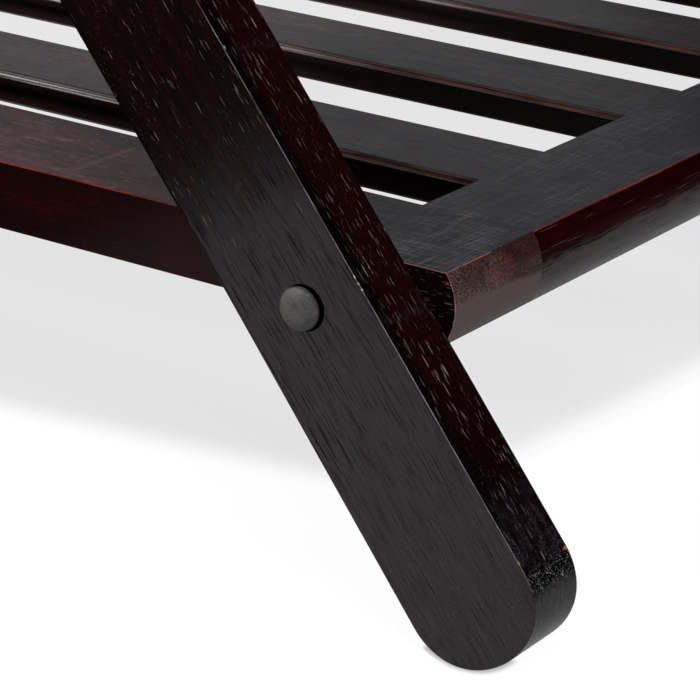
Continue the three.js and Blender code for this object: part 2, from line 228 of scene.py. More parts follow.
# noise in the wood: its fineness along, outward and across, shift, detail, roughness, and the
# levels between which a mask of it rises
woodNoise = {
    "sway": ((0.008, 0.03, 0.03), None, 1, 0.5, None),
    "ragged": ((0.25, 1.4, 1.4), None, 3, 0.65, None),
    "fibre": ((0.02, 2.8, 2.8), None, 3, 0.6, None),
    "band": ((0.004, 0.22, 0.22), None, 2, 0.5, None),
    "legLine": ((0.10, 2.3, 2.3), None, 3, 0.65, (0.44, 0.66)),
    "shelfLine": ((0.10, 2.3, 2.3), None, 3, 0.65, (0.46, 0.68)),
    "speckle": ((0.9, 3.4, 3.4), None, 3, 0.75, None),
    "thread": ((0.045, 4.2, 4.2), None, 3, 0.75, None),
    "crowd": ((0.03, 0.13, 0.13), None, 2, 0.5, (0.44, 0.58)),
    "broken": ((1.8, 2.2, 2.2), None, 2, 0.7, (0.36, 0.46)),
    "frontGlow": ((0.02, 0.3, 0.3), (9, 2, 6), 2, 0.5, (0.6, 0.76)),
    "sideGlow": ((0.012, 0.16, 0.16), (4, 1, 8), 2, 0.5, (0.54, 0.68)),
    "footSpeck": ((2.0, 2.6, 2.0), None, 3, 0.75, None),
    "footWorn": ((0.35, 0.35, 0.35), None, 2, 0.5, (0.42, 0.55)),
    "hazePatches": ((0.16, 0.5, 0.5), None, 3, 0.6, (0.35, 0.65)),
    "edgePatches": ((0.2, 1, 1), None, 2, 0.5, (0.3, 0.6)),
    "shelfGlow": ((0.07, 0.24, 0.24), (4, 1, 8), 3, 0.6, (0.5, 0.68)),
    "roundingPatches": ((0.05, 0.5, 0.5), None, 3, 0.6, (0.34, 0.6)),
    "sandedAlong": ((0.05, 1.1, 1.1), None, 4, 0.8, (0.47, 0.62)),
    "sandedAcross": ((1.6, 0.05, 1.6), (7, 3, 1), 4, 0.8, (0.47, 0.62)),
    "sandedPatches": ((0.05, 0.06, 0.06), None, 2, 0.5, (0.38, 0.6)),
    "cloud": ((0.02, 0.09, 0.09), (3, 9, 4), 3, 0.6, (0.36, 0.6)),
    "flecks": ((0.24, 0.6, 0.6), (8, 2, 5), 3, 0.7, (0.55, 0.68)),
    "scuffPatches": ((0.04, 0.07, 0.07), None, 2, 0.5, (0.42, 0.58)),
    "endSpeck": ((0.5, 2.7, 2.7), None, 3, 0.8, None),
    "endPatches": ((0.2, 0.14, 0.14), (5, 5, 5), 2, 0.5, None),
    "wearPatches": ((0.03, 0.4, 0.4), None, 2, 0.5, (0.35, 0.6)),
}

# short marks along the grain: length, width, smallest and largest radius, the share of places
# that hold one, and a shift that keeps one kind off another
dashKinds = {
    "streak": (16, 0.42, 0.14, 0.34, 1, None),
    "scratch": (9, 0.4, 0.12, 0.32, 1, (31, 17, 5)),
    "fine": (20, 0.40, 0.15, 0.36, 1, (3, 41, 12)),
    "pore": (11, 0.26, 0.10, 0.20, 0.9, (11, 57, 25)),
    "sidePore": (10, 0.20, 0.10, 0.19, 1, (5, 9, 2)),
    "grit": (0.8, 0.75, 0.08, 0.17, 0.7, (71, 7, 65)),
    "shelfStreak": (12, 0.5, 0.10, 0.34, 0.5, None),
    "edgeFibre": (30, 0.26, 0.10, 0.20, 0.7, (11, 57, 25)),
    "bristle": (7, 0.20, 0.12, 0.24, 1, (11, 57, 25)),
}


def woodPattern(grain, kind):
    fineness, shift, detail, roughness, mask = woodNoise[kind]
    place = grain * fineness
    if shift:
        place = place + shift
    made = noise(place, detail, roughness)
    return rise(made, *mask) if mask else made


def woodPatterns(grain, *kinds):
    return [woodPattern(grain, kind) for kind in kinds]


def ownPlace(wire):
    return wire.add("TexCoord", output="Object") * perMetre


def shiftedPlace(wire, place):
    # moved by another distance on each piece, so that no two have the same grain
    return place + wire.add("Attribute", {"attribute_name": "grainShift"}, output="Vector")


def grainPlace(wire, place):
    moved = shiftedPlace(wire, place)
    return moved + (woodPattern(moved, "sway").other("Color") - 0.5) * (0, 3, 3)


def facing(wire):
    # how much the surface faces along the grain, outward and across
    return axes(abs(wire.add("TexCoord", output="Normal")))


def flatPlace(x, y):
    return x.add("CombineXYZ", inputs={0: x, 1: y, 2: 0})


def dashes(grain, kind):
    # how deep in a mark, and each mark's own tone
    length, width, smallest, largest, share, shift = dashKinds[kind]
    if shift:
        grain = grain + shift
    cells = grain * (1 / length, 1 / width, 1 / width)
    near = cells.add("TexVoronoi", inputs={"Vector": cells, "Scale": 1})
    size, tone, chosen = axes(near.other("Color"))
    radius = size * (largest - smallest) + smallest
    return (1 - rise(near, radius * 0.7, radius)) * rise(chosen, 1 - share, 1.02 - share), tone


def nearEdge(gap, grain, reach, raggedness):
    # 1 on an arris, fading over reach millimetres with a ragged border
    ragged = (woodPattern(grain, "ragged") - 0.5) * raggedness
    return 1 - rise(gap + ragged, reach * 0.25, reach)


def addWood(wire, look, colour, roughness, coat, relief, specular=0):
    addSurface(
        wire,
        {
            "Base Color": colour,
            "Roughness": roughness,
            "Specular IOR Level": specular,
            "Coat Weight": coat,
            "Coat Roughness": look["coatRoughness"],
            "Coat IOR": look["coatIor"],
            "Normal": bump(relief, look["relief"]),
        },
    )


def spot(place, at, size):
    # 1 in a small chip: place, at and size are along the grain, outward and across
    parts = [(part - middle) / reach for part, middle, reach in zip(place, at, size)]
    return 1 - rise(parts[0] * parts[0] + parts[1] * parts[1] + parts[2] * parts[2], 0.5, 1)


def spots(place, found):
    made = 0
    for at, size in found:
        made = spot(place, at, size) + made
    return made.least(1)


legLook = {
    "dark": (0.0034, 0.0009, 0.0010),
    "red": (0.0084, 0.0012, 0.0012),
    "low": (0.0066, 0.0010, 0.0024),
    "glow": (0.034, 0.0024, 0.0030),
    "sideDark": (0.0012, 0.0005, 0.0007),
    "sideRed": (0.0130, 0.0010, 0.0010),
    "sideGlow": (0.060, 0.004, 0.004),
    # pale in the pores: partly dust, partly painted glints
    "pore": (0.80, 0.74, 0.72),
    # the upper front arris line, pale low down and pink higher up: partly rubbed stain, partly a
    # painted highlight
    "arrisPink": (0.46, 0.245, 0.235),
    "arrisPale": (0.80, 0.77, 0.79),
    "grit": (0.24, 0.15, 0.14),
    # the dark ring round each button: partly its gap, partly a painted shadow
    "ringColour": (0.0008, 0.0004, 0.0004),
    "chip": (0.40, 0.10, 0.035),
    "chipSmall": (0.44, 0.36, 0.34),
    "foot": (0.016, 0.021, 0.024),
    "footSpeck": (0.32, 0.30, 0.32),
    "footWorn": (0.26, 0.065, 0.028),
    "haze": (0.052, 0.041, 0.054),
    "coatRoughness": 0.22,
    "coatIor": 1.362,
    "relief": 0.1,
    # places along the leg between which something changes, the foot's end being the low one
    "poresFade": (-222, -176),
    "glossFade": (-213, -160),
    "sidePoresFrom": (-120, -250),
    "gritFrom": (-275, -300),
    "calmFrom": (-258, -300),
    "arrisTurnsPink": (-258, -226),
    "undersideDullFrom": (-230, -205),
    "lowReach": 60,  # over this length up from the foot the side grows redder
    "hazeReach": (24, 5),
    "rimReach": (5.5, 8.5),
    "arrisWearAndHighlight": (0.07, 0.17),
    "plugShadowShift": (-0.5, 0.5),
    "boreGap": (0.25, 0.5),
    "chatter": (-240.2, -168.7, -62, 44, 171, 259),
    "chips": [
        ((-302.6, 9.4, -18.7), (0.7, 0.45, 0.3)),
        ((-260.6, 9.4, -18.4), (0.45, 0.4, 0.25)),
        ((-305.7, -8.9, 17.6), (0.5, 1.5, 0.9)),
        ((-303.0, 9.3, 17.9), (0.5, 0.3, 0.3)),
    ],
    "paleChips": [
        ((-167.0, 9.0, 17.9), (0.6, 0.22, 0.22)),
        ((-227.8, 9.4, 17.9), (0.5, 0.16, 0.2)),
        ((-229.6, 9.4, 17.9), (0.4, 0.16, 0.2)),
        ((-231.2, 9.3, 17.9), (0.3, 0.2, 0.2)),
    ],
}


def legWood(name, look, half, plugs):
    # half: the leg's half width, half thickness and half span in millimetres
    # plugs: how far along the leg each button sits, and its radius
    made, wire = newMaterial(name)
    place = ownPlace(wire)
    grain = grainPlace(wire, place)
    x, y, z = axes(place)
    _, faceY, _ = facing(wire)
    onFace = rise(faceY, 0.5, 0.9)
    pastEnd = (abs(x) - half["span"]).most(0)
    onEnd = rise(pastEnd, 0, 3) * (1 - onFace)
    inside = half["thick"] - abs(y)
    gap = (half["width"] - (pastEnd * pastEnd + z * z).root()).most(inside)

    fibre, band, line = woodPatterns(grain, "fibre", "band", "legLine")
    speckle, thread = woodPatterns(grain, "speckle", "thread")
    crowd, broken = woodPatterns(grain, "crowd", "broken")
    calm = rise(x, *look["calmFrom"])
    streak, _ = dashes(grain, "streak")
    streak = streak * (1 - calm * 0.65)
    scratch, _ = dashes(grain, "scratch")
    fine, _ = dashes(grain, "fine")
    fine = fine * (1 - calm * 0.6)
    pore, poreTone = dashes(grain, "pore")
    sidePore, sideTone = dashes(grain, "sidePore")
    grit, gritTone = dashes(grain, "grit")
    pore = pore * rise(poreTone, 0.05, 0.95) * (crowd * 0.6 + 0.4 - onFace * 0.26)
    offArris = rise(half["thick"] - y, 0.8, 3) * 0.8 + 0.2
    lower = rise(x, *look["sidePoresFrom"]) * 0.75 + 0.1
    sidePore = sidePore * rise(sideTone, 0.1, 1.0) * (crowd * 0.8 + 0.2) * lower * (1 - onFace)
    pore = pore.most(sidePore) * broken * (onFace * (1 - offArris) + offArris)

    front = blendColour(rise(band, 0.35, 0.65), look["dark"], look["red"])
    fade = rise(x, *look["poresFade"])
    front = blendColour((1 - fade) * 0.8, front, look["low"])
    front = front * (fibre * 0.8 + speckle * 0.8 + 0.2)
    glow = woodPattern(grain, "frontGlow")
    front = blendColour(glow * scratch.most(fine) * 0.8, front, look["glow"])
    low = rise(x, -half["span"], look["lowReach"] - half["span"])
    middle = rise(half["thick"] - y, 1.2, 6.5) * rise(half["thick"] + y, 0.1, 0.8)
    middle = middle * (low * 0.8 + 0.2)
    side = blendColour(middle * rise(speckle, 0.3, 0.6), look["sideDark"], look["sideRed"])
    glow = woodPattern(grain, "sideGlow") * rise(speckle, 0.5, 0.75)
    side = blendColour(glow * middle * 0.6, side, look["sideGlow"])
    colour = blendColour(onFace, side, front)
    # pale pores, partly dust and partly painted glints, show only where the coat reflects dark: on
    # the sides and high on the front; the same mask thins the pale grit
    paleMarksShow = (1 - onFace * (1 - fade)) * (1 - onEnd)
    colour = blendColour(pore * paleMarksShow, colour, look["pore"])
    paleMarksShow = paleMarksShow * 0.7 + 0.1 + onFace * rise(x, *look["gritFrom"]) * 0.5
    colour = blendColour(grit * gritTone * paleMarksShow, colour, look["grit"])
    marks = 0
    for at in look["chatter"]:
        marks = (1 - rise(abs(x - at + (band - 0.5) * 6), 0.3, 1.6)) + marks
    marks = marks * (1 - onFace) * rise(speckle, 0.5, 0.7) * 0.7
    colour = blendColour(marks, colour, look["haze"])

    # the round end: a black rim with pale grit, then fine lines that run round with it
    ringLines = noise(flatPlace(z.angleFrom(pastEnd) * 3.2, y * 2.4), 4, 0.75)
    speck = woodPattern(grain, "footSpeck")
    footTone = blendColour(rise(ringLines, 0.35, 0.65), look["dark"], look["foot"])
    worn = rise(ringLines, 0.58, 0.66) * woodPattern(grain, "footWorn")
    footTone = blendColour(worn * 0.7, footTone, look["footWorn"])
    rim = (1 - rise(pastEnd + (speck - 0.5) * 3, *look["rimReach"])) * (1 - onFace)
    footTone = blendColour(rim * 0.9, footTone, look["sideDark"])
    footTone = blendColour(rim * rise(speck, 0.57, 0.66), footTone, look["footSpeck"])
    colour = blendColour(onEnd, colour, footTone)
    haze = towards(abs(x), half["span"], look["hazeReach"]) * (1 - onFace) * (1 - onEnd)
    haze = haze * rise(speck, 0.42, 0.64) * woodPattern(grain, "hazePatches")
    colour = blendColour(haze * 0.7, colour, look["haze"])

    # a painted highlight, with some rubbed stain, runs along the upper front arris, pale near the
    # foot and pinker higher up; round the buttons lies a dark ring of gap and painted shadow
    arrisWearAndHighlight = (1 - rise(gap, *look["arrisWearAndHighlight"])) * towards(z, half["width"], (1.5, 0.5))
    arrisWearAndHighlight = arrisWearAndHighlight * rise(y, 0, 1) * (1 - rise(pastEnd, 3, 6))
    arrisWearAndHighlight = arrisWearAndHighlight * (woodPattern(grain, "edgePatches") * 0.6 + 0.4)
    lineTone = blendColour(rise(x, *look["arrisTurnsPink"]), look["arrisPale"], look["arrisPink"])
    colour = blendColour(arrisWearAndHighlight, colour, lineTone)
    chips = spots((x, y, z), look["chips"]) * rise(speck, 0.35, 0.5)
    colour = blendColour(chips, colour, look["chip"])
    colour = blendColour(spots((x, y, z), look["paleChips"]), colour, look["chipSmall"])
    # round each button a dark ring, partly the gap round it and partly a painted shadow, shifted to
    # one side as the shadow falls
    hole = 0
    shiftX, shiftZ = look["plugShadowShift"]
    near, far = look["boreGap"]
    for at, radius in plugs:
        offX, offZ = x - (at + shiftX), z - shiftZ
        away = (offX * offX + offZ * offZ).root()
        hole = (1 - rise(away, radius + near, radius + far)) + hole
    hole = hole * onFace
    colour = blendColour(hole, colour, look["ringColour"])

    sheen = 1 - (rise(x, *look["glossFade"]) * 0.75 + 0.03) * onFace
    coat = sheen * (1.16 - line * 0.25) * (1 - streak * 0.92) * (1 - scratch * 0.7)
    coat = coat * (1 - fine * 0.85) * (thread * 1.5 + 0.19)
    coat = coat * (speckle * 0.7 + 0.68) * (1 - pore * 0.8) * (1 - hole) * (1 - arrisWearAndHighlight * 0.7)
    dull = towards(-1 * z, half["width"], (1.2, 0.6)) * 0.8
    dull = dull * rise(x, *look["undersideDullFrom"])
    coat = coat * (1 - onEnd * 0.6) * (1 - rim * onEnd * 0.6) * (1 - marks) * (1 - dull)
    relief = fibre * 0.2 - line * 0.1 - streak * 0.5 - scratch * 0.3 - pore
    addWood(wire, look, colour, fibre * 0.2 + 0.34, coat, relief)
    return made


shelfLook = {
    "dark": (0.0044, 0.0010, 0.0011),
    "red": (0.0150, 0.0013, 0.0013),
    "glow": (0.030, 0.0016, 0.0016),
    "top": (0.0070, 0.0085, 0.0135),
    "brown": (0.0560, 0.0165, 0.0190),
    "scuff": (0.160, 0.158, 0.168),
    "brownScuff": (0.170, 0.100, 0.080),
    "worn": (0.27, 0.030, 0.018),
    # the pale line where a side meets the rounded end: partly rubbed wood, partly a painted
    # highlight
    "wornAndHighlightEdge": (0.46, 0.29, 0.24),
    "wornNearEnd": (0.30, 0.105, 0.075),
    "rounding": (0.058, 0.027, 0.024),
    "bristle": (0.30, 0.165, 0.135),
    "pore": (0.80, 0.72, 0.68),
    "endWood": (0.066, 0.039, 0.037),
    "endRed": (0.044, 0.0145, 0.0130),
    "endPale": (0.21, 0.150, 0.142),
    # a painted reflection of the floor, low on the end grain
    "endFloorReflection": (0.082, 0.059, 0.053),
    "endDark": (0.012, 0.006, 0.007),
    "endRedPlace": ((-1, 4.6), (40, 8, 4)),  # outward and up, and its size
    "endRedFrom": (9, -8),
    "nearEnd": (60, 4),  # distances from a rounded end, as the next two
    "crown": (5, 2),
    "bristleReach": (32, 6),
    "scuffTurn": 1.05,  # how far the scuffs slant from the grain
    "scuffFineness": (0.05, 0.5, 1),
    "coatRoughness": 0.2,
    "coatIor": 1.362,
    "relief": 0.1,
}


endless = 1000  # half the length of a piece whose ends don't show
# limits of a rise that no place along the grain reaches, and that every place is past
nowhere, everywhere = (-endless, -endless - 1), (-endless - 1, -endless)
shelfFinish = {
    "sideCoat": 0.22,
    "topCoat": 0.66,
    "scuffs": 0.5,
    "sanding": 1,
    "wearFrom": -endless,  # arrises further out than this show bare wood
    "wearReach": 0.32,
    "rounding": 0,  # how brown the rounded edges are
    "bulge": None,  # centre and radius of an end's rounding, where it shows its end grain
    "cool": nowhere,  # places along the grain between which brown turns to cold grey
    "coolCoat": 1,  # how much of the top's gloss is left in the cold part
    "coolBrown": 0.1,  # how much of the brown
    "sideTone": 1,  # how bright the wood below the coat is off the top
    "specular": 0,
    "dimAbove": None,  # height over the middle above which the outer side reflects little
    "redder": None,  # where along the grain the outer side turns redder, is so, and turns back
    "marks": [],
}


def shelfWood(name, look, half, changed):
    # half: half sizes in millimetres along the grain, across it and up
    finish = {**shelfFinish, **changed}
    bulge, scuffs, rounding = finish["bulge"], finish["scuffs"], finish["rounding"]
    made, wire = newMaterial(name)
    place = ownPlace(wire)
    grain = grainPlace(wire, place)
    signedX, signedY, signedZ = axes(place)
    x, y, z = axes(abs(place))
    faceX, faceY, faceZ = facing(wire)
    onTop = rise(faceZ, 0.93, 0.985)
    onSide = rise(faceY, 0.5, 0.9)
    gapX, gapY, gapZ = half[0] - x, half[1] - y, half[2] - z
    if bulge:
        pastCentre = (x - bulge["centre"]).most(0)
        gapX = bulge["radius"] - (pastCentre * pastCentre + z * z).root()
    # the middle one of the three gaps is how far the nearest arris is
    gap = gapX.least(gapY).most(gapX.most(gapY).least(gapZ))

    fibre, band, line = woodPatterns(grain, "fibre", "band", "shelfLine")
    speckle = woodPattern(grain, "speckle")
    streak, _ = dashes(grain, "shelfStreak")
    cool = rise(signedX, *finish["cool"])

    # off the top
    colour = blendColour(rise(band, 0.3, 0.7) * rise(speckle, 0.3, 0.6), look["dark"], look["red"])
    colour = colour * (fibre * finish["sideTone"] + finish["sideTone"] * 0.5)
    glow = woodPattern(grain, "shelfGlow") * rise(speckle, 0.35, 0.65) * 0.7
    colour = blendColour(glow * finish["sideTone"], colour, look["glow"])
    if rounding:
        turned = rise(faceZ, 0.12, 0.4) * (1 - onTop)
        uneven = woodPattern(grain, "roundingPatches") * 0.7 + 0.3
        colour = blendColour(turned * uneven * rounding, colour, look["rounding"])
        # a darker line along the middle of the rounding, on the cold part
        midRoundingLine = rise(faceZ, 0.6, 0.7) * (1 - rise(faceZ, 0.72, 0.82))
        colour = colour * (1 - midRoundingLine * cool * 0.7)
        # below the rounding, where the highlight shows, brown fades down the side: partly the
        # edge's colour, partly the painted fall-off of that highlight
        tail = rise(gapZ, 4.5, 1.5) * onSide * (1 - cool)
        colour = blendColour(tail * 0.35, colour, look["rounding"])

    # the top: sanding marks both ways, brown clouds with flecks, and slanting scuffs
    along, across = woodPatterns(grain, "sandedAlong", "sandedAcross")
    hatch = along * 0.7 + across * 0.7
    hatch = hatch * (woodPattern(grain, "sandedPatches") * 0.65 + 0.35)
    hatch = hatch * finish["sanding"] * (cool * 0.75 + 0.25)
    topColour = blendColour(rise(band, 0.35, 0.7) * 0.5, look["top"], look["dark"])
    brown = (woodPattern(grain, "cloud") * 0.6 + 0.4 * (1 - cool)) * scuffs
    brown = brown * (1 - cool * (1 - finish["coolBrown"]))
    topColour = blendColour(brown, topColour, look["brown"])
    topColour = topColour * (fibre * 0.8 + speckle * 0.6 + 0.3)
    flecks = woodPattern(grain, "flecks") * brown * 0.75
    topColour = blendColour(flecks, topColour, look["brownScuff"])
    topColour = blendColour(hatch * 0.43, topColour, look["scuff"])
    slope = {"Rotation": (0, 0, look["scuffTurn"]), "Scale": look["scuffFineness"]}
    slanted = wire.add("Mapping", inputs={"Vector": grain, **slope})
    slant = rise(noise(slanted, 3, 0.6), 0.56, 0.74) * woodPattern(grain, "scuffPatches")
    slant = slant * scuffs * (0.5 - cool * 0.35)
    topColour = blendColour(slant, topColour, look["brownScuff"])
    colour = blendColour(onTop, colour, topColour)

    relief = fibre * 0.2 - line * 0.15 - streak * 0.4 - hatch * 0.3
    roughness = 0.36 + fibre * 0.16 + hatch * 0.12
    coat = onTop * (finish["topCoat"] - finish["sideCoat"]) + finish["sideCoat"]
    coat = coat * (1 - line * 0.25) * (1 - streak * 0.6) * (speckle * 0.4 + 0.8)
    coat = coat * (1.04 - hatch * 0.3 * onTop)
    if rounding:
        relief = relief * (1 - turned * 0.8)
        coat = coat.most(rise(faceZ, 0.02, 0.15) * (1 - onTop) * (1 - cool))
        coat = coat * (1 - turned * cool * 0.75)
        coat = coat * (1 - rise(faceZ, 0.75, 0.88) * (1 - rise(faceZ, 0.985, 0.999)) * 0.6)
    coat = coat * (1 - cool * onTop * (1 - finish["coolCoat"]))
    if finish["dimAbove"] is not None:
        start = finish["dimAbove"]
        dim = rise(signedZ + (line - 0.5) * 2.5, start, start + 3) * (1 - onTop)
        coat = coat * (1 - dim * 0.9)
        fibres, _ = dashes(grain, "edgeFibre")
        colour = blendColour(fibres * dim * onSide * 0.12, colour, look["pore"])
    if bulge:
        # end grain: reddish and specked, with a paler grey part low down that is a painted
        # reflection of the floor
        onEnd = rise(faceX, 0.35, 0.6) * (1 - onSide)
        speck, patch = woodPatterns(grain, "endSpeck", "endPatches")
        level = signedZ - signedY * 0.07 + (patch - 0.5) * 4
        low = 1 - rise(level, bulge["floorReflectionBelow"] - 1.1, bulge["floorReflectionBelow"] + 0.7)
        inward = rise(signedY + (patch - 0.5) * 10, *look["endRedFrom"])
        wood = blendColour(inward, look["endWood"], look["endRed"])
        (redY, redZ), redSize = look["endRedPlace"]
        redPlace = spot((x, signedY, signedZ), (half[0], redY, redZ), redSize)
        wood = wood * (1 + redPlace * 0.9)
        endColour = blendColour(rise(speck, 0.43, 0.55), look["endDark"], wood)
        pale = rise(speck, 0.53, 0.62) * rise(patch, 0.25, 0.7)
        pale = pale * (0.7 - inward * 0.5) * (1 - redPlace * 0.8)
        endColour = blendColour(pale, endColour, look["endPale"])
        endColour = blendColour(low * 0.85, endColour, look["endFloorReflection"])
        colour = blendColour(onEnd, colour, endColour)
        coat = coat + onEnd * (0.19 - coat)
        roughness = roughness + onEnd * 0.1
        relief = relief + speck * onEnd * 0.6
        nearEnd = towards(x, half[0], look["nearEnd"])
        crown = rise(gapY, 0.5, 0.1) * towards(x, half[0], look["crown"])
        gap = gap * (1 + nearEnd * 1.4)

    wear = nearEdge(gap, grain, finish["wearReach"], 0.3)
    wear = wear * rise(signedY, finish["wearFrom"] - 1, finish["wearFrom"] + 1)
    strength = woodPattern(grain, "wearPatches") * 0.65 + 0.3
    wornTone = look["worn"]
    if bulge:
        wear = wear * rise(signedZ, -2, 2).most(crown)
        wornTone = blendColour(nearEnd, look["worn"], look["wornNearEnd"])
        # at the edge where a side meets the rounded end the wear is pale: partly rubbed wood,
        # partly a painted highlight
        wornTone = blendColour(crown, wornTone, look["wornAndHighlightEdge"])
        fibres, _ = dashes(grain, "bristle")
        fibres = fibres * onSide * towards(x, half[0], look["bristleReach"])
        fibres = fibres * rise(speckle, 0.38, 0.5)
        # the sides darken towards the rounded end: a painted shadow of the leg that stands in front
        colour = colour * (1 - nearEnd * onSide * 0.6)
        colour = blendColour(fibres * 0.8, colour, look["bristle"])
        wear = wear * (1 - crown * 0.4)
        coat = coat * (1 - wear * 0.7)
    colour = blendColour(wear * strength, colour, wornTone)
    if finish["redder"]:
        start, full, less, end = finish["redder"]
        redder = rise(signedX, start, full) * rise(signedX, end, less) * onSide
        colour = blendColour(redder * 0.42, colour, look["glow"])
    for at, size, share in finish["marks"]:
        mark = spot((signedX, signedY, signedZ), at, size) * rise(speckle, 0.3, 0.55)
        colour = blendColour(mark * share, colour, look["brownScuff"])

    addWood(wire, look, colour, roughness, coat, relief, finish["specular"])
    return made


plugLook = {
    "pale": (0.058, 0.051, 0.047),
    "dark": (0.022, 0.0215, 0.023),
    "line": (0.17, 0.165, 0.165),
}


def plugWood(name, look):
    made, wire = newMaterial(name)
    place = ownPlace(wire)
    grain = shiftedPlace(wire, place)
    x, _, z = axes(place)
    # the tone falls towards one side of the button: painted shading across its dome
    cloud = noise(grain * (0.3, 0.3, 0.3), 3, 0.7) - (x + z) * 0.02
    speck = noise(grain * (2.4, 2.4, 2.4), 3, 0.75)
    fromMiddle = (x * x + z * z).root()
    spokes = noise(flatPlace(z.angleFrom(x) * 14, fromMiddle * 0.5), 2, 0.6)
    colour = blendColour(rise(cloud, 0.26, 0.66), look["dark"], look["pale"])
    colour = colour * (speck * 1.3 + 0.4)
    scratched = rise(spokes, 0.6, 0.72) * rise(fromMiddle, 1.5, 3) * rise(speck, 0.45, 0.6)
    colour = blendColour(scratched * 0.65, colour, look["line"])
    addSurface(
        wire,
        {
            "Base Color": colour,
            "Roughness": speck * 0.2 + 0.5,
            "Specular IOR Level": 0.18,
            "Normal": bump(speck, 0.03),
        },
    )
    return made


webbingLook = {
    "dark": (0.010, 0.009, 0.010),
    "pale": (0.034, 0.031, 0.032),
    "columnWidth": 1.25,
    "rowLength": 1.7,
}


def webbing(name, look):
    # warp columns with a twill that turns about the middle, from the strap's own flat millimetres
    made, wire = newMaterial(name)
    flat = wire.add("UVMap", {"uv_map": "flat"}) * perMetre
    u, v, _ = axes(flat)
    columns = abs(v) / look["columnWidth"]
    column = columns.whole()
    across = columns - column - 0.5
    rows = u / look["rowLength"] + column * 0.25
    row = rows - rows.whole() - 0.5
    yarn = (1 - across * across * 4) * (1 - row * row * 3.2)
    fuzz = noise(flat * (1.1, 1.1, 1.1), 3, 0.6)
    dust = noise(flat * (0.03, 0.05, 0.03), 2)
    colour = blendColour(yarn * 0.7 + fuzz * 0.3, look["dark"], look["pale"])
    addSurface(
        wire,
        {
            "Base Color": colour * (dust * 0.6 + 0.7),
            "Roughness": fuzz * 0.15 + 0.72,
            "Specular IOR Level": 0.3,
            "Normal": bump(yarn + fuzz * 0.25, 0.22),
        },
    )
    return made


def plainFinish(name, colour, tone, roughness, metallic, grainSize):
    # metal or nylon with fine tool marks
    made, wire = newMaterial(name)
    mark = noise(ownPlace(wire) * ((1 / grainSize,) * 3), 3, 0.6)
    addSurface(
        wire,
        {
            "Base Color": blendColour(mark, colour, tone),
            "Roughness": mark * 0.2 + roughness,
            "Metallic": metallic,
            "Normal": bump(mark, 0.02),
        },
    )
    return made


# Meshes


def insetOutline(points, distance):
    # every side of an outline that runs anticlockwise moves inwards
    moved = []
    for i, point in enumerate(points):
        before = (point - points[i - 1]).normalized()
        after = (points[(i + 1) % len(points)] - point).normalized()
        inwards = [Vector((-way.y, way.x)) for way in (before, after)]
        mitre = (inwards[0] + inwards[1]) / (1 + inwards[0].dot(inwards[1]))
        moved.append(point + mitre * distance)
    return moved


def arc(centre, radius, start, end, steps):
    turns = [start + (end - start) * i / steps for i in range(steps + 1)]
    return [Vector(centre) + radius * Vector((math.cos(a), math.sin(a))) for a in turns]


def easedLevels(half, under, over, underSteps=4, overSteps=4):
    # pairs of level and inset, from the lower rim to the upper one, each with its own arris
    def rim(arris, steps):
        turns = [quarterTurn * i / steps for i in range(steps + 1)]
        return [(half - arris * (1 - math.cos(a)), arris * (1 - math.sin(a))) for a in turns]

    return [(-level, inset) for level, inset in rim(under, underSteps)] + rim(over, overSteps)[::-1]


def loft(rings):
    made = bmesh.new()
    loops = [[made.verts.new(point) for point in ring] for ring in rings]
    made.faces.new(loops[0])
    made.faces.new(loops[-1])
    for lower, upper in zip(loops, loops[1:]):
        for i in range(len(lower)):
            j = (i + 1) % len(lower)
            made.faces.new((lower[i], lower[j], upper[j], upper[i]))
    return made


meshSettings = {"same": 0.001 * mm, "sharpDegrees": 40, "grainReach": 400}


def addPiece(node, kind, made, body, material, place):
    # made: a bmesh in the piece's own axes, which place takes to the rack's
    name = f"{node}_{kind}"
    bmesh.ops.remove_doubles(made, verts=made.verts, dist=meshSettings["same"])
    bmesh.ops.recalc_face_normals(made, faces=made.faces)
    mesh = bpy.data.meshes.new(name)
    made.to_mesh(mesh)
    made.free()
    mesh.shade_smooth()
    mesh.set_sharp_from_angle(angle=math.radians(meshSettings["sharpDegrees"]))
    chance = random.Random(name)
    reach = meshSettings["grainReach"]
    shift = [chance.uniform(-reach, reach) for _ in range(3)]
    stored = mesh.attributes.new("grainShift", "FLOAT_VECTOR", "POINT")
    stored.data.foreach_set("vector", shift * len(mesh.vertices))
    mesh.materials.append(material)
    piece = addObject(name, mesh)
    piece.matrix_world = place
    flatFaces = piece.modifiers.new("flatFaces", "WEIGHTED_NORMAL")
    flatFaces.keep_sharp = True
    if body:
        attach(piece, body)
    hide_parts(node)
    return piece


def standing(origin, along, outward):
    # a piece's own axes: X along its grain, Y out of its shown face
    x = Vector(along).normalized()
    y = Vector(outward).normalized()
    turn = Matrix((x, y, x.cross(y))).transposed()
    return Matrix.Translation(origin) @ turn.to_4x4()


# Legs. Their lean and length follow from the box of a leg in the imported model.

legSettings = {
    "width": 36 * mm,
    "arris": 0.4 * mm,
    "hiddenArris": 0.15 * mm,
    "endSteps": 40,
    "flareFrom": -215 * mm,  # from here the photographed leg widens on its underside
    "flare": 0.9 * mm,
    "flatter": 0.95 * mm,  # how much shorter its foot is at the tip than a half circle
}

legLow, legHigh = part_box("inner_leg_front")
legRun = legHigh.x - legLow.x - legSettings["width"]
legRise = legHigh.z - legLow.z - legSettings["width"]
legLean = math.atan2(legRun, legRise)
legSpan = math.hypot(legRun, legRise)
legThick = legHigh.y - legLow.y
pivotHeight = (legLow.z + legHigh.z) / 2
ends = {"front": -1, "back": 1}
halves = {"inner": -1, "outer": 1}  # which way each pair of legs leans at the top


